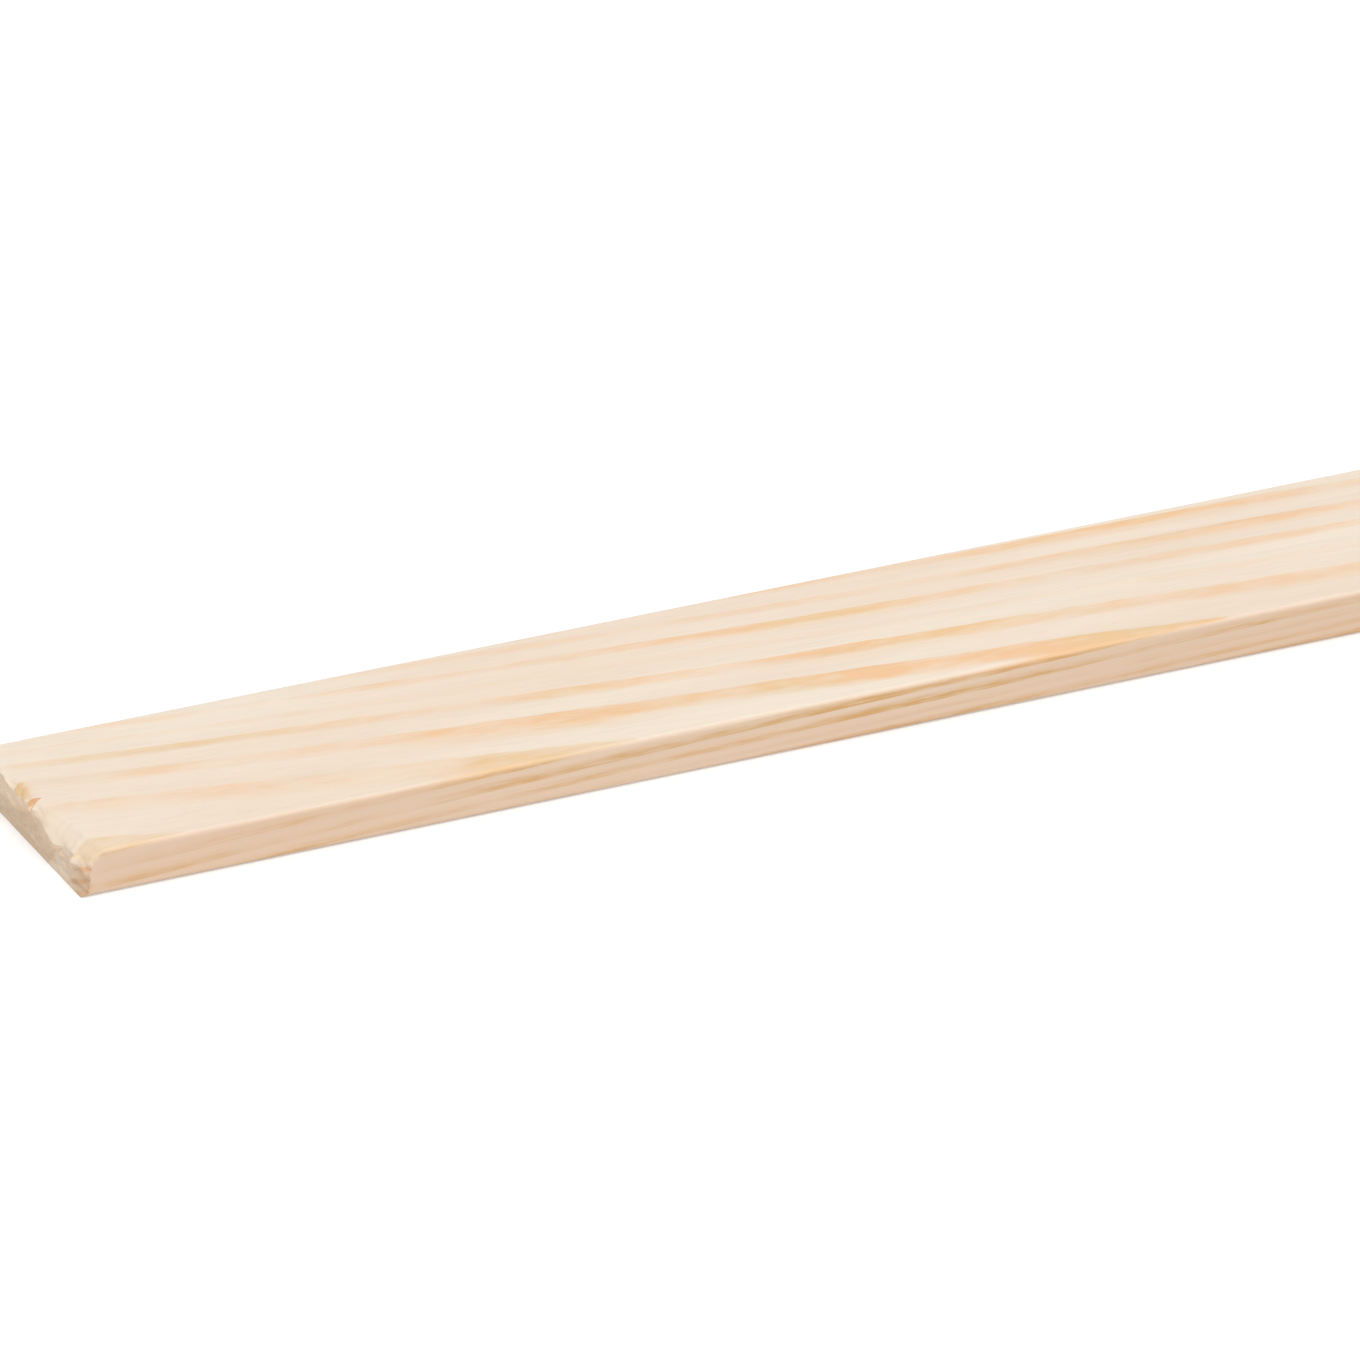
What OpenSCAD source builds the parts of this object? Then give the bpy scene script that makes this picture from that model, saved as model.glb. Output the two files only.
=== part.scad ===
// Planed softwood plank with eased long edges, cross-cut at both ends.
// Length along X, width along Y, lying flat on Z = 0, origin under its middle.
// The -X end keeps the tear-out of its rough cut along the upper edge.

/* [Section] */
// Width across the broad faces
plank_width = 100; // [60:1:200]
// Thickness between the broad faces
plank_thickness = 18; // [12:0.5:45]
// Radius of the four eased long edges
edge_radius = 2; // [0.5:0.1:4]

/* [Length] */
// Length between the two cut ends, as sold
plank_length = 1800; // [900:300:5400]

/* [Split in the rough end] */
// Place of the split across the width, from the middle, towards +Y
split_offset = 0; // [-20:0.5:20]
// Length of the split along the grain
split_length = 5.5; // [2:0.5:20]
// Width of the split at the cut
split_width = 7; // [1:0.5:10]
// Depth of the split at the cut, running out to nothing
split_depth = 3; // [1:0.5:8]

/* [Broken edge of the rough end] */
// Reach of the break across the width, from the -Y side
break_across = 48; // [46:1:60]
// Place of its deepest point, from the -Y side
break_low = 30; // [5:1:45]
// Depth at that point, below the upper face
break_depth = 8.5; // [2:0.5:10]
// Depth at the corner
corner_depth = 4; // [0.5:0.5:8]
// Slope of the torn surface, up from the cut to the upper face
break_slope = 55; // [30:1:75]

/* [Hidden] */
$fn = 64;
// How far a cutting shape runs past the face it cuts
overrun = 1;
half_width = plank_width / 2;
half_length = plank_length / 2;

module plank() {
    color("burlywood") difference() {
        rotate([90, 0, 90])
            linear_extrude(plank_length, center = true)
                eased_section();
        split();
        broken_edge();
    }
}

// Cross-section with Y to the right and Z up, standing on Z = 0
module eased_section() {
    corner_y = half_width - edge_radius;
    translate([-corner_y, 0])
        square([2 * corner_y, plank_thickness]);
    translate([-half_width, edge_radius])
        square([plank_width, plank_thickness - 2 * edge_radius]);
    for (y = [-corner_y, corner_y])
        for (z = [edge_radius, plank_thickness - edge_radius])
            translate([y, z])
                circle(edge_radius);
}

// Splinter torn out of the upper face: a point in plan, over a floor that rises to the face
module split() {
    mouth = split_width / 2;
    translate([-half_length, split_offset, plank_thickness])
        intersection() {
            translate([0, 0, -split_depth - overrun])
                linear_extrude(split_depth + 2 * overrun)
                    polygon([
                        [-overrun, -mouth],
                        [0, -mouth],
                        [split_length, 0],
                        [0, mouth],
                        [-overrun, mouth]
                    ]);
            rotate([90, 0, 0])
                linear_extrude(split_width + 2 * overrun, center = true)
                    polygon([
                        [-overrun, overrun],
                        [-overrun, -split_depth],
                        [0, -split_depth],
                        [split_length, 0],
                        [split_length, overrun]
                    ]);
        }
}

// Upper edge torn away from the corner inwards: a shallow V, drawn square to the torn surface
module broken_edge() {
    foreshortening = cos(break_slope);
    run = 2 * max(break_depth, corner_depth) / sin(break_slope) + 2 * overrun;
    translate([-half_length, -half_width, plank_thickness])
        rotate([0, -break_slope, 0])
            rotate([90, 0, 90])
                linear_extrude(2 * run, center = true)
                    polygon([
                        [-overrun, run],
                        [-overrun, -corner_depth * foreshortening],
                        [0, -corner_depth * foreshortening],
                        [break_low, -break_depth * foreshortening],
                        [break_across, 0],
                        [break_across, run]
                    ]);
}

plank();
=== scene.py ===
import math

import bmesh
import bpy
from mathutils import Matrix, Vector, noise


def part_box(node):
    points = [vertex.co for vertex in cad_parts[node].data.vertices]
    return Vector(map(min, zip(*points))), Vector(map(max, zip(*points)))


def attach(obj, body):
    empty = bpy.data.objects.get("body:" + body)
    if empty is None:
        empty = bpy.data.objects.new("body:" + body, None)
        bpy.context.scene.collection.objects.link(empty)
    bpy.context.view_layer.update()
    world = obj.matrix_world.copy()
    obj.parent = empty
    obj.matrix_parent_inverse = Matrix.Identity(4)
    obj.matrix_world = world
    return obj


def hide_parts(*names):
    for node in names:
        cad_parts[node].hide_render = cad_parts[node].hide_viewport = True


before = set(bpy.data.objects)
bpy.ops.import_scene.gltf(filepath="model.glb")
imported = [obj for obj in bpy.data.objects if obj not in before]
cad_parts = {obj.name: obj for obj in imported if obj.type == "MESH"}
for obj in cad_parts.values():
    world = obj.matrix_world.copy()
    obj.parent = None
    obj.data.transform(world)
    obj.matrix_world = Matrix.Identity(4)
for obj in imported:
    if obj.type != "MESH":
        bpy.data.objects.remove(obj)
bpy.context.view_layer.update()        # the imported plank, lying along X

millimetre = 0.001
tiny = 1e-6                  # metres, for what lies on a plane
lowCorner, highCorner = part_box("plank")
plankLength, plankWidth, plankThickness = highCorner - lowCorner
roughEndX = lowCorner.x      # the torn end
squareEndX = highCorner.x    # the plain sawn end
nearSideY = lowCorner.y
topZ = highCorner.z


# small helpers for working as by hand

def startFresh():
    if bpy.context.mode != "OBJECT":
        bpy.ops.object.mode_set(mode="OBJECT")
    bpy.ops.object.select_all(action="DESELECT")


def pickOnly(thing):
    startFresh()
    thing.select_set(True)
    bpy.context.view_layer.objects.active = thing


def editAll(thing):
    pickOnly(thing)
    bpy.ops.object.mode_set(mode="EDIT")
    bpy.ops.mesh.select_all(action="SELECT")


def turnOutwards():
    # ends an edit with every face pointing outwards
    bpy.ops.mesh.select_all(action="SELECT")
    bpy.ops.mesh.normals_make_consistent(inside=False)
    bpy.ops.object.mode_set(mode="OBJECT")


def applyModifier(thing, kind, name, **settings):
    modifier = thing.modifiers.new(name, kind)
    for key, value in settings.items():
        setattr(modifier, key, value)
    pickOnly(thing)
    bpy.ops.object.modifier_apply(modifier=name)


def smoothly(low, high, value):
    share = min(max((value - low) / (high - low), 0.0), 1.0)
    return share * share * (3 - 2 * share)


def inMillimetres(point):
    # from the near low corner of the rough end
    return (point - lowCorner) / millimetre


# growth rings of the trunk that the plank was sawn from, in mm from the near low corner of the rough end
rings = {
    "pithSide": -64.5,           # the pith runs beyond the near side, far above the plank
    "pithSideDrift": -0.01066,   # for each mm of length
    "pithDriftEnd": 600,
    "pithHeight": 410.3,
    "pithRise": 18.34,           # the taper of the trunk, settling over this length
    "pithRiseOver": 340,
    "pithClimb": 0.00062,
    "bendFrom": 360,             # along this stretch the trunk bends a little
    "bendTo": 560,
    "bendSide": 12.0,
    "bendRise": 3.4,
    "start": 392.1,
    "ends": [400.1, 407.5, 413.6, 418.8, 423.0, 427.4, 432.3, 438.2,
             443.6, 449.0, 454.2, 459.5, 464.6, 470.0],       # outer edge of each ring's dark wood
    "strengths": [0.95, 0.8, 1.0, 0.95, 0.3, 0.8, 0.7, 0.75,
                  0.85, 0.6, 0.9, 0.7, 0.85, 0.75],
}


def ringPhase(y, z):
    # how far through its ring a point of the rough end lies, 0 to 1
    radius = math.hypot(y - rings["pithSide"], rings["pithHeight"] - z)
    inner = rings["start"]
    for outer in rings["ends"]:
        if radius < outer:
            return (radius - inner) / (outer - inner)
        inner = outer
    return 0.0


# the plank: an eased section pulled out to its length, split at the rough end, then sliced fine
plankShape = {
    "edgeRadius": 2.0 * millimetre,
    "edgeSegments": 6,
    "sawnRim": 0.3 * millimetre,
    "sawnRimSegments": 2,
    "smoothAngle": 38,
    # steps between the slices: even across and through, growing along the length from each end
    "acrossStep": 0.6 * millimetre,
    "throughStep": 0.5 * millimetre,
    "roughFirstLoop": 0.4 * millimetre,
    "roughLoopGrowth": 1.12,
    "roughLoops": 42,
    "squareFirstLoop": 0.6 * millimetre,
    "squareLoopGrowth": 1.5,
    "squareLoops": 14,
    "middleStep": 75 * millimetre,
    # the split in the upper edge
    "splitMiddle": 50.0 * millimetre,      # from the near side
    "splitLength": 5.5 * millimetre,
    "splitWidth": 7.0 * millimetre,
    "splitDepth": 3.0 * millimetre,
    "splitOverrun": 0.5 * millimetre,      # of its cutter, past the end
}


def makeSection(s):
    startFresh()
    bpy.ops.mesh.primitive_plane_add(size=1, location=(roughEndX, 0, plankThickness / 2),
                                     rotation=(0, -math.pi / 2, 0))
    plank = bpy.context.object
    plank.name = "timber_plank"
    plank.data.name = "timber_plank"
    plank.scale = (plankThickness, plankWidth, 1)
    pickOnly(plank)
    bpy.ops.object.transform_apply(location=True, rotation=True, scale=True)
    editAll(plank)
    bpy.ops.mesh.bevel(offset=s["edgeRadius"], segments=s["edgeSegments"], affect="VERTICES")
    return plank


def breakSawnRim(plank, s):
    # the square end's rim is just taken off
    editAll(plank)
    bpy.ops.mesh.select_all(action="DESELECT")
    mesh = bmesh.from_edit_mesh(plank.data)
    for edge in mesh.edges:
        edge.select = all(abs(vertex.co.x - squareEndX) < tiny for vertex in edge.verts)
    bmesh.update_edit_mesh(plank.data)
    bpy.ops.mesh.bevel(offset=s["sawnRim"], segments=s["sawnRimSegments"], affect="EDGES")
    bpy.ops.object.mode_set(mode="OBJECT")


def splitCorners(s):
    # near and far lip and foot of the split at the cut, and the tip where it runs out on the upper face
    over = s["splitOverrun"]
    grow = 1 + over / s["splitLength"]
    middle = nearSideY + s["splitMiddle"]
    mouth = s["splitWidth"] / 2 * grow
    front = roughEndX - over
    return [
        Vector((front, middle - mouth, topZ + 2 * over)),
        Vector((front, middle + mouth, topZ + 2 * over)),
        Vector((front, middle, topZ - s["splitDepth"] * grow)),
        Vector((roughEndX + s["splitLength"], middle, topZ + over / 2)),
    ]


def cutSplit(plank, s):
    # a three-sided cone, its corners pulled to those of the split
    startFresh()
    bpy.ops.mesh.primitive_cone_add(vertices=3, radius1=0.5, radius2=0, depth=1, end_fill_type="NGON")
    cutter = bpy.context.object
    for vertex, corner in zip(cutter.data.vertices, splitCorners(s)):
        vertex.co = corner
    cutter.matrix_world.identity()
    editAll(cutter)
    turnOutwards()
    applyModifier(plank, "BOOLEAN", "cut", operation="DIFFERENCE", object=cutter, solver="EXACT")
    bpy.data.objects.remove(cutter)


def growingPlaces(start, firstStep, growth, count):
    places = []
    place = start
    for number in range(count):
        place += firstStep * growth ** number
        places.append(place)
    return places


def cutAt(place, normal):
    bpy.ops.mesh.select_all(action="SELECT")
    bpy.ops.mesh.bisect(plane_co=place, plane_no=normal, threshold=tiny)


def slicePlank(plank, s):
    along = growingPlaces(roughEndX, s["roughFirstLoop"], s["roughLoopGrowth"], s["roughLoops"])
    back = growingPlaces(squareEndX, -s["squareFirstLoop"], s["squareLoopGrowth"], s["squareLoops"])
    while along[-1] + s["middleStep"] < back[-1]:
        along.append(along[-1] + s["middleStep"])
    editAll(plank)
    for x in along + back:
        cutAt((x, 0, 0), (1, 0, 0))
    for count in range(1, round(plankWidth / s["acrossStep"])):
        cutAt((0, nearSideY + count * s["acrossStep"], 0), (0, 1, 0))
    for count in range(1, round(plankThickness / s["throughStep"])):
        cutAt((0, 0, count * s["throughStep"]), (0, 0, 1))
    turnOutwards()
    print("plank sliced:", len(plank.data.polygons), "faces")


def makePlank(s):
    plank = makeSection(s)
    editAll(plank)
    bpy.ops.mesh.extrude_region_move(TRANSFORM_OT_translate={"value": (plankLength, 0, 0)})
    turnOutwards()
    breakSawnRim(plank, s)
    cutSplit(plank, s)
    slicePlank(plank, s)
    return plank


# the torn end, in mm: its upper edge rolls over, and each spot of it lies back by its own depth
tornEnd = {
    # places across from the near side, and how far the edge is down there
    "edgeDown": [(-1, 4.6), (3, 6.0), (11, 6.5), (15, 5.8), (20, 6.6), (26, 8.0), (30.5, 7.8), (37.5, 5.2),
                 (45, 2.4), (52, 1.8), (58, 2.8), (64, 3.6), (70, 3.0), (78, 1.0), (90, 0.6), (101, 0.5)],
    "edgeRagged": 0.5,
    "edgeRaggedSize": 2.6,
    "rollReach": 1.8,             # along the length, and more where the edge is further down
    "rollGrowth": 0.6,
    "rollBend": 1.5,
    "deepestRoll": 10.0,
    # depth of the end itself
    "deepest": 6.0,
    "start": 0.25,
    "fadeFrom": 4.0,              # the relief dies out between these distances from the end
    "fadeTo": 15.0,
    "roughFade": 2.5,             # its fine part sooner
    "footFade": 2.2,              # and all of it towards the lower rim
    "crackFoot": 32.9,            # a crack across the end: its place at the lower edge, and its lean
    "crackLean": -0.69,
    "crackBlur": 0.5,
    "crackBlurFrom": 7.0,         # above this height it blurs out
    "crackBlurGrowth": 0.8,
    "stepBack": 0.6,              # the near part lies back from the crack
    "leanBack": 0.13,             # and leans back, for each mm above the next height
    "leanFrom": 1.5,
    "cornerBack": 1.7,
    "cornerReach": 12.0,
    "cornerBend": 1.5,
    "groove": ((63.0, 8.5), (39.0, 11.0)),    # a hollow under the torn edge, from end to end
    "grooveAbove": 4.0,
    "grooveBelow": 5.5,
    "grooveDepth": 1.4,
    "grooveStart": (-0.3, 0.2),   # where it comes and goes, in shares of its length
    "grooveStop": (0.8, 1.15),
    "knob": (11.0, 10.8, 2.6),    # a chip that stands proud: place across and up, reach
    "knobHeight": 1.8,
    "knobSlope": (0.2, 1.0),
    "ringRidge": 0.35,            # the dark wood of a ring stands proud
    "ridgeFoot": (0.6, 0.85),     # shares of the ring where that starts
    "ridgeBack": (0.96, 1.0),     # and stops
    "chunk": 1.0,
    "chunkSize": (6.5, 2.6),
    "fibre": 0.45,
    "fibreSize": (2.2, 0.9),
    # the square end has only faint saw marks
    "sawWave": 0.07,
    "sawPitch": 2.4,
    "sawLean": 0.35,
    "sawLevels": (0.5, 0.3, 0.2),     # even, waved and uneven parts
    # tone of the wood, with painted shade added in places: 0 is planed, 1 is cut straight across, and more
    # is darker
    "nearTone": 0.3,              # pale on the near side of the crack
    "rimTone": 0.35,              # and just under the edge
    "rimReach": 2.6,
    "hollowShadeTone": 0.05,           # painted shade, darker in the hollow
    "knobClear": (0.5, 1.1),      # the chip is as pale as planed wood
    "crackShadeTone": 0.5,             # painted shade: the crack is darker
    "crackWidth": 0.9,
    "crackSoft": (0.3, 1.0),
    "crackTop": (8, 10),          # and ends between these heights
    "footShadowTone": 0.5,              # painted contact shadow: the lower rim is darker too
    "footHeight": 0.9,
    "splitToneAndShade": 2.0,             # the split is darkest, towards its lips: partly its own darker wood, partly painted shade
    "splitSoft": (0.3, 0.65),
    # dark blotches by the near corner: place across and up, reach across and up, strength
    "blotches": [(4.6, 9.4, 9.5, 1.9, 0.7), (6.2, 4.0, 11.0, 2.0, 0.62),
               (3.5, 0.4, 9.0, 2.4, 0.55), (2.0, 6.0, 12.0, 9.0, 0.12)],
    "blotchLean": -0.38,           # up towards the near side
    "blotchRagged": 0.18,
    "blotchStretch": 1.5,
    "blotchSoft": (0.35, 1.05),
    # where each noise is sliced, so that no two are alike
    "edgeSlice": (0.4, 5.5),
    "chunkSlice": 3.1,
    "fibreSlice": 8.6,
    "blotchSlice": 2.2,
    "sawSlice": 1.7,
}


def crackAt(z):
    return tornEnd["crackFoot"] + tornEnd["crackLean"] * z


def rollDepth(x, y):
    # how far the upper face is down at a place, in mm
    t = tornEnd
    down = t["edgeDown"][-1][1]
    for (nearY, nearDown), (farY, farDown) in zip(t["edgeDown"], t["edgeDown"][1:]):
        if nearY <= y < farY:
            down = nearDown + (farDown - nearDown) * (y - nearY) / (farY - nearY)
    ragged = noise.noise(Vector((y / t["edgeRaggedSize"], *t["edgeSlice"])))
    down = max(down + t["edgeRagged"] * ragged * min(down, 1), 0)
    share = max(1 - x / (t["rollReach"] + t["rollGrowth"] * down), 0)
    return down * share ** t["rollBend"]


def grooveDepth(y, z):
    t = tornEnd
    (farY, farZ), (nearY, nearZ) = t["groove"]
    share = (farY - y) / (farY - nearY)
    middle = farZ + (nearZ - farZ) * share
    reach = t["grooveAbove"] if z > middle else t["grooveBelow"]
    depth = t["grooveDepth"] * (1 - smoothly(0.0, 1.0, abs(z - middle) / reach))
    return depth * smoothly(*t["grooveStart"], share) * (1 - smoothly(*t["grooveStop"], share))


def fromKnob(y, z):
    # distance from the chip, in shares of its reach
    knobY, knobZ, knobReach = tornEnd["knob"]
    return math.hypot(y - knobY, z - knobZ) / knobReach


def fineRelief(y, z):
    t = tornEnd
    phase = ringPhase(y, z)
    fine = t["ringRidge"] * (1 - smoothly(*t["ridgeFoot"], phase) + smoothly(*t["ridgeBack"], phase))
    wide, high = t["chunkSize"]
    fine += t["chunk"] * noise.noise(Vector((y / wide, z / high, t["chunkSlice"])))
    wide, high = t["fibreSize"]
    fine += t["fibre"] * noise.noise(Vector((y / wide, z / high, t["fibreSlice"])))
    return fine


def tornDepth(x, y, z):
    # how far back a place of the end lies, in mm
    t = tornEnd
    blur = t["crackBlur"] + max(z - t["crackBlurFrom"], 0) * t["crackBlurGrowth"]
    nearPart = 1 - smoothly(-blur, blur, y - crackAt(z))
    corner = max(1 - y / t["cornerReach"], 0) ** t["cornerBend"]
    lean = t["leanBack"] * max(z - t["leanFrom"], 0)
    depth = t["start"] + grooveDepth(y, z)
    depth += nearPart * (t["stepBack"] + lean + t["cornerBack"] * corner)
    depth -= t["knobHeight"] * (1 - smoothly(*t["knobSlope"], fromKnob(y, z)))
    depth = max(depth, 0) * (1 - smoothly(t["fadeFrom"], t["fadeTo"], x))
    depth += fineRelief(y, z) * (1 - smoothly(0, t["roughFade"], x))
    return max(depth, 0) * smoothly(0, t["footFade"], z)


def weigh(plank, name, weightAt):
    group = plank.vertex_groups.new(name=name)
    for vertex in plank.data.vertices:
        weight = weightAt(inMillimetres(vertex.co))
        if weight > 0:
            group.add([vertex.index], weight, "REPLACE")


def push(plank, name, group, direction, reach):
    # moves each vertex by its weight in the group, in mm
    applyModifier(plank, "DISPLACE", name, vertex_group=group, direction=direction,
                  strength=reach * millimetre, mid_level=0)


def roughen(plank):
    t = tornEnd
    length = plankLength / millimetre
    thickness = plankThickness / millimetre
    onEnd = 0.01

    def rollWeight(p):
        if p.x > t["fadeTo"]:
            return 0
        return rollDepth(p.x, p.y) * p.z / thickness / t["deepestRoll"]

    def tornWeight(p):
        if p.x > t["fadeTo"]:
            return 0
        return tornDepth(p.x, p.y, p.z) / t["deepest"]

    def sawWeight(p):
        if p.x < length - onEnd:
            return 0
        even, waved, uneven = t["sawLevels"]
        wave = math.sin((p.y * t["sawLean"] + p.z) * math.tau / t["sawPitch"])
        return even + waved * wave + uneven * noise.noise(Vector((p.y, p.z, t["sawSlice"])))

    weigh(plank, "rolled_edge", rollWeight)
    push(plank, "rolled", "rolled_edge", "Z", -t["deepestRoll"])
    weigh(plank, "torn_fibres", tornWeight)
    weigh(plank, "saw_marks", sawWeight)
    push(plank, "torn", "torn_fibres", "X", t["deepest"])
    push(plank, "sawn", "saw_marks", "X", -t["sawWave"])
    plank.vertex_groups.clear()
    print("ends roughened")


def splitHeight(polygon, point):
    # how far up a wall of the split a corner lies, from foot to upper face, or None away from it
    onWall = 0.02 * millimetre
    nearLip, farLip, foot, tip = splitCorners(plankShape)
    for lip in (nearLip, farLip):
        wall = (lip - foot).cross(tip - foot).normalized()
        if abs(wall.dot(polygon.center - foot)) < onWall:
            return (point.z - foot.z) / (topZ - foot.z)
    return None


def tornTone(y, z):
    # tone of a place on the rough end, painted shade included, before the edge is rolled down
    t = tornEnd
    edge = plankThickness / millimetre - rollDepth(0, y)
    z *= edge * millimetre / plankThickness
    if y < crackAt(z):
        tone = t["nearTone"]
    else:
        # painted shade in the hollow
        tone = 1 + t["hollowShadeTone"] * grooveDepth(y, z) / t["grooveDepth"]
    tone *= t["rimTone"] + (1 - t["rimTone"]) * smoothly(0, t["rimReach"], edge - z)
    tone *= smoothly(*t["knobClear"], fromKnob(y, z))
    # painted shade along the crack
    crack = 1 - smoothly(*t["crackSoft"], abs(y - crackAt(z)) / t["crackWidth"])
    tone += t["crackShadeTone"] * crack * (1 - smoothly(*t["crackTop"], z))
    ragged = t["blotchRagged"] * noise.noise(Vector((y, z * t["blotchStretch"], t["blotchSlice"])))
    for blotchY, blotchZ, reachY, reachZ, strength in t["blotches"]:
        middle = blotchZ + t["blotchLean"] * (y - blotchY)
        away = math.hypot((y - blotchY) / reachY, (z - middle) / reachZ) + ragged
        tone = max(tone, (1 + strength) * (1 - smoothly(*t["blotchSoft"], away)))
    # painted contact shadow along the lower rim
    return tone + t["footShadowTone"] * (1 - smoothly(0, t["footHeight"], z))


# the plank's own bake map, and what its material reads off each corner
layout = {
    "mapName": "OFBake",
    "mapSize": 1024,
    "margin": 8,
    "zoneShare": 0.16,               # of the map's width, for the rough end's first stretch
    "zoneLength": 40 * millimetre,
    # strips of the map: lowest and highest row
    "bottom": (8, 300),
    "near": (312, 400),
    "far": (412, 500),
    "ends": (512, 640),
    "top": (652, 1016),
    # what counts as one of the ends
    "squareFacing": 0.5,
    "roughFacing": -0.2,
    "roughZone": 12 * millimetre,
    "toneName": "cutWoodAndShade",
    "liftName": "rolledDown",
}


def faceName(polygon):
    x, y, z = polygon.normal
    if x > layout["squareFacing"]:
        return "square"
    if x < layout["roughFacing"] and polygon.center.x < roughEndX + layout["roughZone"]:
        return "rough"
    if abs(z) > abs(y):
        return "top" if z > 0 else "bottom"
    return "near" if y < 0 else "far"


def alongShare(x):
    # place along the map, where the first stretch from the rough end gets more room
    fromEnd = x - roughEndX
    zone, share = layout["zoneLength"], layout["zoneShare"]
    if fromEnd < zone:
        return share * fromEnd / zone
    return share + (1 - share) * (fromEnd - zone) / (plankLength - zone)


def mapPlace(name, point):
    size, margin = layout["mapSize"], layout["margin"]
    across = (point.y - lowCorner.y) / plankWidth
    through = (point.z - lowCorner.z) / plankThickness
    if name in ("rough", "square"):
        u = (margin + across * (size / 2 - 2 * margin)) / size
        if name == "square":
            u += 0.5
        low, high = layout["ends"]
        v = through
    else:
        u = (margin + alongShare(point.x) * (size - 2 * margin)) / size
        low, high = layout[name]
        v = across if name in ("top", "bottom") else through
    return u, (low + v * (high - low)) / size


def cutTone(name, polygon, point):
    if name == "square":
        return 1.0
    if name != "rough":
        return 0.0
    height = splitHeight(polygon, point)
    if height is not None:
        return 1 + (tornEnd["splitToneAndShade"] - 1) * smoothly(*tornEnd["splitSoft"], height)
    x, y, z = inMillimetres(point)
    return tornTone(y, z)


def layOut(plank):
    mesh = plank.data
    for old in list(mesh.uv_layers):
        mesh.uv_layers.remove(old)
    mesh.uv_layers.new(name=layout["mapName"])
    mesh.attributes.new(layout["toneName"], "FLOAT", "CORNER")
    mesh.attributes.new(layout["liftName"], "FLOAT", "CORNER")
    # looked up only now, since a new layer moves the others
    bakeMap = mesh.uv_layers[layout["mapName"]]
    tone = mesh.attributes[layout["toneName"]]
    lift = mesh.attributes[layout["liftName"]]
    for polygon in mesh.polygons:
        name = faceName(polygon)
        for corner in polygon.loop_indices:
            point = mesh.vertices[mesh.loops[corner].vertex_index].co
            bakeMap.uv[corner].vector = mapPlace(name, point)
            tone.data[corner].value = cutTone(name, polygon, point)
            if name == "top":
                x, y, z = inMillimetres(point)
                lift.data[corner].value = rollDepth(x, y)
    print("faces laid out on the bake map")


plank = makePlank(plankShape)
layOut(plank)        # before the ends are roughened, while every face is still plain
roughen(plank)
pickOnly(plank)
bpy.ops.object.shade_smooth_by_angle(angle=math.radians(plankShape["smoothAngle"]))


# planed pine

def fromScreen(red, green, blue):
    # a colour as read off a screen, 0 to 255, made linear
    def straight(level):
        level /= 255
        return level / 12.92 if level <= 0.04045 else ((level + 0.055) / 1.055) ** 2.4
    return straight(red), straight(green), straight(blue), 1


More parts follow.
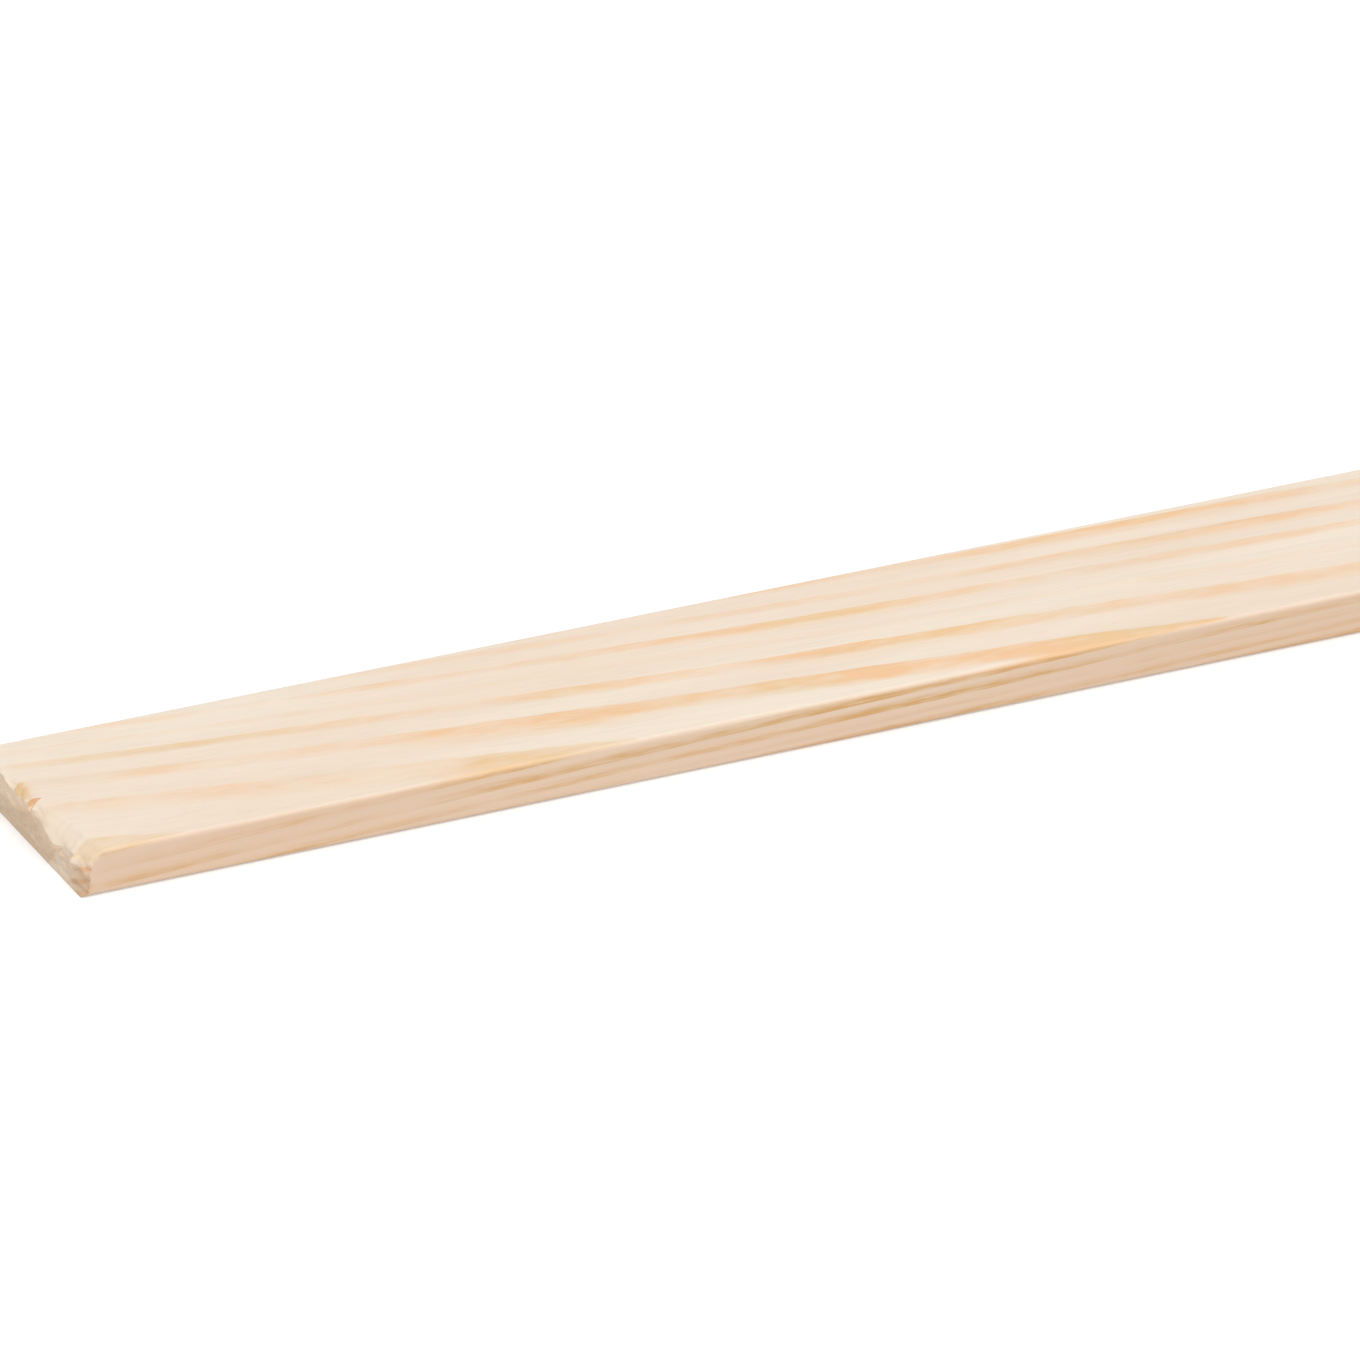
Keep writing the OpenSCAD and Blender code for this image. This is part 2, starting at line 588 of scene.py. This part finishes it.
pine = {
    "paleWood": fromScreen(246, 231, 212),
    "warmWood": fromScreen(243, 224, 203),
    "rolledLitPale": fromScreen(254, 235, 211),      # painted light: the rolled edge is paler, so it looks as lit as the upper face
    "peachRing": fromScreen(246, 201, 156),
    "honeyRing": fromScreen(240, 204, 155),
    # how dark the wood is through one ring, from its inner to its outer edge
    "bandProfile": [(0.0, 0.0), (0.56, 0.0), (0.66, 0.6), (0.75, 1.0),
                    (0.95, 1.0), (0.985, 0.7), (1.0, 0.0)],
    "wideProfile": [(0.0, 0.0), (0.30, 0.0), (0.50, 0.6), (0.68, 1.0),
                    (0.95, 1.0), (0.985, 0.7), (1.0, 0.0)],
    # stretches where a ring shows stronger or weaker: ring, middle and reach along the length, gain
    "strongSpots": [
        (0, 8, 40, 0.1),
        (1, 0, 30, -0.4), (1, 60, 90, -0.25), (1, 175, 45, 0.3),
        (2, 0, 30, -0.2), (2, 0, 6, 1.6), (2, 60, 70, -0.2), (2, 115, 50, -0.35), (2, 208, 65, 0.35),
        (2, 280, 40, 0.3), (2, 325, 60, 0.5), (2, 390, 50, 0.3), (2, 450, 80, 0.5),
        (3, 0, 14, -0.5), (3, 40, 70, -0.1), (3, 150, 70, -0.36), (3, 350, 90, 0.55),
        (5, 60, 150, -0.35), (5, 310, 90, 0.8),
        (6, 150, 160, -0.35), (6, 490, 90, 0.7),
        (7, 200, 150, -0.3), (7, 480, 110, 0.7),
    ],
    # stretches where it is broader
    "broadSpots": [
        (0, 8, 40, 1.0), (1, 178, 45, 0.4), (2, 0, 9, 0.9), (2, 192, 70, 1.0), (2, 450, 80, 1.0),
        (3, 340, 90, 0.3), (5, 330, 140, 0.6), (6, 500, 140, 0.5), (7, 480, 140, 0.5),
    ],
    # stretches where it is more yellow, or less
    "honeySpots": [
        (0, 8, 70, 1.0), (1, 180, 70, 0.8), (2, 1, 8, 1.0), (3, 50, 130, 1.0), (2, 450, 70, 0.6),
        (7, 470, 110, -0.8),
    ],
    # the long edges
    "sideTintAndShade": (0.96, 0.855, 0.785, 1),
    "sideRing": (0.91, 0.865, 0.73, 1),
    "sideHoney": 0.8,
    "sideBroad": 0.5,
    "sideFrom": (0.6, 0.05),       # mm from the side's plane, where it starts and is full
    # painted shade: the side tint reaches over the eased edge and dims its highlight
    "easedShadeFrom": (1.4, 0.1),
    "easedRing": 0.3,              # how much of the tint a dark ring takes on the eased edge
    # the ends
    "endTint": (1.03, 0.935, 0.845, 1),
    "lowPaintedShade": (0.86, 0.86, 0.85, 1),      # painted shade: the lower half of the rough end is darker
    "roughRings": 0.35,            # how much of the rings shows on the rough end
    "sawnRings": 1.5,              # and on the square one
    "endsApart": (100.0, 200.0),   # along the length, between the looks of the two ends
    # colour of the split: partly its own darker wood, partly painted shade
    "splitTintAndShade": (0.88, 0.68, 0.49, 1),
    # noises: length of the blotches along, across and through in mm, detail, offset
    "wobbleNoise": ((70, 12, 12), 2.0),
    "raggedNoise": ((16, 6, 6), 3.0, (1, 2, 8)),
    "wanderNoise": ((320, 90, 90), 1.0, (4.7, 0, 0)),
    "fineNoise": ((60, 1.4, 0.5), 3.0),
    "coarseNoise": ((160, 14, 1.8), 2.0, (0, 0, 9)),
    "broadNoise": ((260, 34, 34), 2.0, (2, 5, 0)),
    "comingNoise": ((50, 9, 30), 3.0),
    "mottleNoise": ((15, 5, 1.2), 3.0, (3, 0, 6)),
    "hueNoise": ((90, 9, 40), 1.0, (7, 0, 3)),
    "ductNoise": ((9, 0.5, 0.3), 0.0, (0, 3, 4)),
    "poreNoise": ((6, 0.5, 0.5), 2.0, (0, 1, 2)),
    # how far the rings stray, in mm of radius
    "wobble": 1.0,
    "ragged": 0.5,
    "wander": 3.6,
    "wanderFrom": (480, 900),      # along the length
    "ringApart": 37.0,             # keeps the noise of one ring clear of the next
    # ranges: from low, from high, to low, to high
    "warmRange": (0.35, 0.65, 0.0, 1.0),
    "comingRange": (0.32, 0.68, 0.3, 0.85),
    "hueRange": (0.45, 0.7, 0.0, 1.0),
    "ductRange": (0.74, 0.80, 0.0, 0.10),
    "rolledLitRange": (0.2, 2.5, 0.0, 1.0),      # mm rolled down
    "plainRange": (0.0, 2.5, 1.0, 0.2),
    "planedRange": (0.0, 0.5, 1.0, 0.0),     # tone of cut wood
    "lowRange": (6.0, 10.0, 1.0, 0.0),       # mm of height
    "roughnessRange": (0.3, 0.7, 0.48, 0.62),
    "streakRange": (0.3, 0.7),
    "streakLow": (0.55, 0.25),               # on the broad faces, on the sides
    "streakHigh": 1.25,
    "cutRings": 0.3,                         # tone from which the rings show as on an end
    "fineTone": [(0.3, 0.955), (0.5, 0.99), (0.7, 1.0)],
    "coarseTone": [(0.3, 0.97), (0.55, 1.0)],
    "poreTone": [(0.32, 0.92), (0.5, 1.0)],
    "specular": 0.35,
    "relief": 0.06 * millimetre,
    "reliefStrength": 0.5,
    "ringRelief": 0.5,
}


def plug(tree, socket, term):
    if isinstance(term, bpy.types.NodeSocket):
        tree.links.new(term, socket)
    else:
        socket.default_value = term


def reckon(tree, operation, *terms):
    node = tree.nodes.new("ShaderNodeMath")
    node.operation = operation
    for socket, term in zip(node.inputs, terms):
        plug(tree, socket, term)
    return node.outputs[0]


def remap(tree, value, fromLow, fromHigh, toLow, toHigh, how="SMOOTHSTEP"):
    node = tree.nodes.new("ShaderNodeMapRange")
    node.interpolation_type = how
    for name, term in (("Value", value), ("From Min", fromLow), ("From Max", fromHigh),
                       ("To Min", toLow), ("To Max", toHigh)):
        plug(tree, node.inputs[name], term)
    return node.outputs[0]


def joined(tree, x, y, z):
    node = tree.nodes.new("ShaderNodeCombineXYZ")
    for socket, term in zip(node.inputs, (x, y, z)):
        plug(tree, socket, term)
    return node.outputs[0]


def readOff(tree, name):
    node = tree.nodes.new("ShaderNodeAttribute")
    node.attribute_name = name
    return node.outputs["Fac"]


def cloud(tree, spot, lengths, detail, offset=(0, 0, 0)):
    # noise whose blotches are as long as given along each axis, in mm
    place = tree.nodes.new("ShaderNodeMapping")
    place.inputs["Location"].default_value = offset
    place.inputs["Scale"].default_value = [1 / length for length in lengths]
    tree.links.new(spot, place.inputs["Vector"])
    node = tree.nodes.new("ShaderNodeTexNoise")
    node.inputs["Scale"].default_value = 1
    node.inputs["Detail"].default_value = detail
    tree.links.new(place.outputs[0], node.inputs["Vector"])
    return node.outputs["Fac"]


def ramp(tree, value, stops, how="LINEAR"):
    node = tree.nodes.new("ShaderNodeValToRGB")
    node.color_ramp.interpolation = how
    elements = node.color_ramp.elements
    while len(elements) < len(stops):
        elements.new(1)
    for element, (place, level) in zip(elements, stops):
        element.position = place
        element.color = (level, level, level, 1)
    tree.links.new(value, node.inputs["Fac"])
    return node.outputs["Color"]


def blend(tree, share, first, second, how="MIX"):
    node = tree.nodes.new("ShaderNodeMix")
    node.data_type = "RGBA"
    node.blend_type = how
    plug(tree, node.inputs[0], share)
    plug(tree, node.inputs[6], first)
    plug(tree, node.inputs[7], second)
    return node.outputs[2]


def pithDistance(tree, x, y, z):
    # the pith drifts, climbs and bends along the length
    drift = reckon(tree, "MINIMUM", x, rings["pithDriftEnd"])
    drift = reckon(tree, "MULTIPLY", drift, rings["pithSideDrift"])
    bend = remap(tree, x, rings["bendFrom"], rings["bendTo"], 0.0, 1.0)
    pithY = reckon(tree, "ADD", drift, rings["pithSide"])
    pithY = reckon(tree, "MULTIPLY_ADD", bend, rings["bendSide"], pithY)
    fading = reckon(tree, "EXPONENT", reckon(tree, "DIVIDE", x, -rings["pithRiseOver"]))
    settled = rings["pithHeight"] + rings["pithRise"]
    pithZ = reckon(tree, "MULTIPLY_ADD", fading, -rings["pithRise"], settled)
    pithZ = reckon(tree, "MULTIPLY_ADD", x, rings["pithClimb"], pithZ)
    pithZ = reckon(tree, "MULTIPLY_ADD", bend, rings["bendRise"], pithZ)
    arm = joined(tree, reckon(tree, "SUBTRACT", y, pithY), reckon(tree, "SUBTRACT", z, pithZ), 0.0)
    distance = tree.nodes.new("ShaderNodeVectorMath")
    distance.operation = "LENGTH"
    tree.links.new(arm, distance.inputs[0])
    return distance.outputs["Value"]


def stray(tree, spot, noiseSettings, reach, radius):
    swing = reckon(tree, "SUBTRACT", cloud(tree, spot, *noiseSettings), 0.5)
    return reckon(tree, "MULTIPLY_ADD", swing, reach, radius)


def ringNumber(tree, radius):
    # radius to ring number, through the listed ring edges
    innermost, outermost = rings["start"], rings["ends"][-1]
    count = len(rings["ends"])
    curve = tree.nodes.new("ShaderNodeFloatCurve")
    line = curve.mapping.curves[0]
    line.points[0].location = (0, 0)
    line.points[1].location = (1, 1)
    for number, edge in enumerate(rings["ends"][:-1], 1):
        line.points.new((edge - innermost) / (outermost - innermost), number / count)
    for point in line.points:
        point.handle_type = "VECTOR"
    curve.mapping.update()
    share = remap(tree, radius, innermost, outermost, 0.0, 1.0, "LINEAR")
    tree.links.new(share, curve.inputs["Value"])
    return reckon(tree, "MULTIPLY", curve.outputs[0], float(count))


def measureWood(tree, p):
    # every place and share that the colours are worked out from
    where = tree.nodes.new("ShaderNodeTexCoord")
    toMillimetres = tree.nodes.new("ShaderNodeMapping")
    toMillimetres.inputs["Location"].default_value = -lowCorner / millimetre
    toMillimetres.inputs["Scale"].default_value = [1 / millimetre] * 3
    tree.links.new(where.outputs["Object"], toMillimetres.inputs["Vector"])
    spot = toMillimetres.outputs[0]
    parts = tree.nodes.new("ShaderNodeSeparateXYZ")
    tree.links.new(spot, parts.inputs[0])
    x, y, z = parts.outputs
    rolled = readOff(tree, layout["liftName"])
    z = reckon(tree, "ADD", z, rolled)         # the grain follows the rolled edge down

    # rings are never quite round, and wander further along
    radius = pithDistance(tree, x, y, z)
    radius = stray(tree, spot, p["wobbleNoise"], p["wobble"], radius)
    radius = stray(tree, spot, p["raggedNoise"], p["ragged"], radius)
    reach = remap(tree, x, *p["wanderFrom"], 0.0, p["wander"])
    radius = stray(tree, spot, p["wanderNoise"], reach, radius)
    number = ringNumber(tree, radius)
    ring = reckon(tree, "FLOOR", number)

    half = plankWidth / 2 / millimetre
    fromMiddle = reckon(tree, "ABSOLUTE", reckon(tree, "SUBTRACT", y, half))
    starts, full = p["sideFrom"]
    side = remap(tree, fromMiddle, half - starts, half - full, 0.0, 1.0)
    starts, full = p["easedShadeFrom"]
    eased = remap(tree, fromMiddle, half - starts, half - full, 0.0, 1.0)

    tone = readOff(tree, layout["toneName"])
    cut = reckon(tree, "MINIMUM", tone, 1.0)
    return {
        "x": x,
        "z": z,
        "spot": spot,
        "fibreSpot": joined(tree, x, y, radius),      # fibres follow the rings
        "ringSpot": joined(tree, x, reckon(tree, "MULTIPLY", ring, p["ringApart"]), y),
        "rolled": rolled,
        "number": number,
        "ring": ring,
        "phase": reckon(tree, "FRACT", number),
        "side": side,
        "eased": eased,
        "cut": cut,
        "split": remap(tree, tone, 1.0, tornEnd["splitToneAndShade"], 0.0, 1.0, "LINEAR"),
        "planed": remap(tree, cut, *p["planedRange"], "LINEAR"),
    }


def spotsAlong(tree, at, spots):
    # adds up the stretches of the rings, each fading out along the length
    sameRing = 0.1
    total = None
    for number, middle, reach, gain in spots:
        away = reckon(tree, "ABSOLUTE", reckon(tree, "SUBTRACT", at["x"], float(middle)))
        mine = reckon(tree, "COMPARE", at["ring"], float(number), sameRing)
        term = reckon(tree, "MULTIPLY", remap(tree, away, 0.0, float(reach), gain, 0.0), mine)
        total = term if total is None else reckon(tree, "ADD", total, term)
    return total


def darkWood(tree, p, at):
    # dark wood of each ring, each with its own strength, coming and going along the length
    count = len(rings["ends"])
    strengths = [(index / count, level) for index, level in enumerate(rings["strengths"])]
    own = ramp(tree, reckon(tree, "DIVIDE", at["number"], float(count)), strengths, "CONSTANT")
    coming = remap(tree, cloud(tree, at["ringSpot"], *p["comingNoise"]), *p["comingRange"])
    stronger = reckon(tree, "MULTIPLY", spotsAlong(tree, at, p["strongSpots"]), at["planed"])
    coming = reckon(tree, "ADD", coming, stronger)
    mottle = cloud(tree, at["fibreSpot"], *p["mottleNoise"])
    lowest = remap(tree, at["side"], 0.0, 1.0, *p["streakLow"])
    streaky = remap(tree, mottle, *p["streakRange"], lowest, p["streakHigh"], "LINEAR")

    broadness = spotsAlong(tree, at, p["broadSpots"])
    broadness = reckon(tree, "MULTIPLY_ADD", at["side"], p["sideBroad"], broadness)
    narrow = ramp(tree, at["phase"], p["bandProfile"])
    band = blend(tree, broadness, narrow, ramp(tree, at["phase"], p["wideProfile"]))
    dark = reckon(tree, "MULTIPLY", band, own)
    dark = reckon(tree, "MULTIPLY", dark, reckon(tree, "MULTIPLY", coming, streaky))
    onEnds = remap(tree, at["x"], *p["endsApart"], p["roughRings"], p["sawnRings"], "LINEAR")
    shown = remap(tree, at["cut"], 0.0, p["cutRings"], 1.0, onEnds, "LINEAR")
    return reckon(tree, "MULTIPLY", dark, shown)


def planedColour(tree, p, at, dark, fine, coarse):
    broad = cloud(tree, at["spot"], *p["broadNoise"])
    early = blend(tree, remap(tree, broad, *p["warmRange"]), p["paleWood"], p["warmWood"])
    # painted light: paler where the edge is rolled down
    early = blend(tree, remap(tree, at["rolled"], *p["rolledLitRange"]), early, p["rolledLitPale"])
    hue = cloud(tree, at["ringSpot"], *p["hueNoise"])
    yellower = reckon(tree, "MULTIPLY", spotsAlong(tree, at, p["honeySpots"]), at["planed"])
    yellower = reckon(tree, "MULTIPLY_ADD", at["side"], p["sideHoney"], yellower)
    honey = reckon(tree, "ADD", remap(tree, hue, *p["hueRange"]), yellower)
    honey = reckon(tree, "MAXIMUM", honey, 0.0)
    late = blend(tree, honey, p["peachRing"], p["honeyRing"])
    wood = blend(tree, dark, early, late)

    # fibres in two widths, fainter where the edge is rolled
    plain = remap(tree, at["rolled"], *p["plainRange"])
    wood = blend(tree, plain, wood, ramp(tree, fine, p["fineTone"]), "MULTIPLY")
    wood = blend(tree, plain, wood, ramp(tree, coarse, p["coarseTone"]), "MULTIPLY")

    # resin ducts: short thin dashes
    duct = remap(tree, cloud(tree, at["fibreSpot"], *p["ductNoise"]), *p["ductRange"])
    return blend(tree, duct, wood, p["honeyRing"], "MULTIPLY")


def sideColour(tree, p, at, dark, wood):
    # the long edges show the grain edge on, warmer; over the eased edges the tint is painted shade that
    # dims their highlight
    paler = remap(tree, dark, 0.0, 1.0, 1.0, p["easedRing"], "LINEAR")
    tinted = reckon(tree, "MAXIMUM", reckon(tree, "MULTIPLY", at["eased"], paler), at["side"])
    wood = blend(tree, tinted, wood, p["sideTintAndShade"], "MULTIPLY")
    return blend(tree, reckon(tree, "MULTIPLY", at["side"], dark), wood, p["sideRing"], "MULTIPLY")


def endColour(tree, p, at, wood):
    # cut and torn wood takes more light in
    wood = blend(tree, at["cut"], wood, p["endTint"], "MULTIPLY")
    # painted shade over the lower half of the rough end
    atRoughEnd = reckon(tree, "LESS_THAN", at["x"], p["endsApart"][0])
    low = reckon(tree, "MULTIPLY", remap(tree, at["z"], *p["lowRange"]), atRoughEnd)
    wood = blend(tree, reckon(tree, "MULTIPLY", low, at["cut"]), wood, p["lowPaintedShade"], "MULTIPLY")
    # the split: its own darker wood, with painted shade
    wood = blend(tree, at["split"], wood, p["splitTintAndShade"], "MULTIPLY")
    pores = cloud(tree, at["spot"], *p["poreNoise"])
    return blend(tree, at["cut"], wood, ramp(tree, pores, p["poreTone"]), "MULTIPLY")


def pineMaterial(p):
    material = bpy.data.materials.new("planed_pine")
    material.use_nodes = True
    tree = material.node_tree
    shader = tree.nodes["Principled BSDF"]

    at = measureWood(tree, p)
    fine = cloud(tree, at["fibreSpot"], *p["fineNoise"])
    coarse = cloud(tree, at["fibreSpot"], *p["coarseNoise"])
    dark = darkWood(tree, p, at)
    wood = planedColour(tree, p, at, dark, fine, coarse)
    wood = sideColour(tree, p, at, dark, wood)
    wood = endColour(tree, p, at, wood)
    tree.links.new(wood, shader.inputs["Base Color"])

    tree.links.new(remap(tree, coarse, *p["roughnessRange"]), shader.inputs["Roughness"])
    shader.inputs["Specular IOR Level"].default_value = p["specular"]
    bump = tree.nodes.new("ShaderNodeBump")
    bump.inputs["Strength"].default_value = p["reliefStrength"]
    bump.inputs["Distance"].default_value = p["relief"]
    tree.links.new(reckon(tree, "MULTIPLY_ADD", dark, p["ringRelief"], fine), bump.inputs["Height"])
    tree.links.new(bump.outputs[0], shader.inputs["Normal"])
    print("planed pine mixed")
    return material


plank.data.materials.append(pineMaterial(pine))
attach(plank, "root")
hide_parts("plank")


# plain studio: white floor, soft light from above and in front
studio = {
    "floorSize": 80.0,
    "floorDrop": 0.05 * millimetre,
    "floorColour": (0.80, 0.80, 0.80, 1),
    "floorLift": 0.30,
    "ambient": 0.5,
    "overhead": {"place": (-0.3, -0.4, 4.0), "aim": (-0.3, 0, 0), "size": 4.0, "power": 110},
    "front": {"place": (-2.9, -4.0, 2.0), "aim": (-0.6, 0, 0), "size": 3.0, "power": 62},
}


def seenRays(tree):
    # 1 for what the camera sees, straight or in a gloss or glass
    path = tree.nodes.new("ShaderNodeLightPath")
    seen = reckon(tree, "MAXIMUM", path.outputs["Is Camera Ray"], path.outputs["Is Glossy Ray"])
    return reckon(tree, "MAXIMUM", seen, path.outputs["Is Transmission Ray"])


def makeFloor(s):
    startFresh()
    bpy.ops.mesh.primitive_plane_add(size=s["floorSize"], location=(0, 0, -s["floorDrop"]))
    floor = bpy.context.object
    floor.name = "studio_floor"
    paper = bpy.data.materials.new("floor_paper")
    paper.use_nodes = True
    tree = paper.node_tree
    tree.nodes.clear()
    out = tree.nodes.new("ShaderNodeOutputMaterial")
    both = tree.nodes.new("ShaderNodeAddShader")
    matt = tree.nodes.new("ShaderNodeBsdfDiffuse")
    matt.inputs["Color"].default_value = s["floorColour"]
    glow = tree.nodes.new("ShaderNodeEmission")
    tree.links.new(reckon(tree, "MULTIPLY", seenRays(tree), s["floorLift"]), glow.inputs["Strength"])
    tree.links.new(matt.outputs[0], both.inputs[0])
    tree.links.new(glow.outputs[0], both.inputs[1])
    tree.links.new(both.outputs[0], out.inputs["Surface"])
    floor.data.materials.append(paper)


def makeAir(s):
    world = bpy.data.worlds.new("studio_air")
    bpy.context.scene.world = world
    world.use_nodes = True
    tree = world.node_tree
    tree.nodes.clear()
    out = tree.nodes.new("ShaderNodeOutputWorld")
    air = tree.nodes.new("ShaderNodeBackground")
    strength = remap(tree, seenRays(tree), 0.0, 1.0, s["ambient"], 1.0, "LINEAR")
    tree.links.new(strength, air.inputs["Strength"])
    tree.links.new(air.outputs[0], out.inputs["Surface"])


def addLamp(name, s):
    lamp = bpy.data.lights.new(name, "AREA")
    lamp.shape = "SQUARE"
    lamp.size = s["size"]
    lamp.energy = s["power"]
    holder = bpy.data.objects.new(name, lamp)
    bpy.context.scene.collection.objects.link(holder)
    place = Vector(s["place"])
    holder.location = place
    holder.rotation_euler = (place - Vector(s["aim"])).to_track_quat("Z", "Y").to_euler()


makeFloor(studio)
makeAir(studio)
addLamp("overhead_softbox", studio["overhead"])
addLamp("front_softbox", studio["front"])
print("studio set")


# camera at the photo's angle
cameraShot = {
    "azimuth": -25.04,
    "elevation": 25.95,
    "distance": 5.040,
    "lens": 350.85,
    "sensor": 36,
    "clipEnd": 200,
    "aim": Vector((266.4, 47.0, 14.5)) * millimetre,   # from the near low corner of the rough end
}


def makeCamera(s):
    turn = math.radians(s["azimuth"])
    lift = math.radians(s["elevation"])
    back = Vector((math.sin(turn) * math.cos(lift), -math.cos(turn) * math.cos(lift), math.sin(lift)))
    lens = bpy.data.cameras.new("camera")
    lens.sensor_width = s["sensor"]
    lens.lens = s["lens"]
    lens.clip_end = s["clipEnd"]
    camera = bpy.data.objects.new("camera", lens)
    bpy.context.scene.collection.objects.link(camera)
    camera.location = lowCorner + s["aim"] + back * s["distance"]
    camera.rotation_euler = back.to_track_quat("Z", "Y").to_euler()
    bpy.context.scene.camera = camera
    print("camera placed")


makeCamera(cameraShot)
bpy.context.scene.view_settings.view_transform = "Standard"
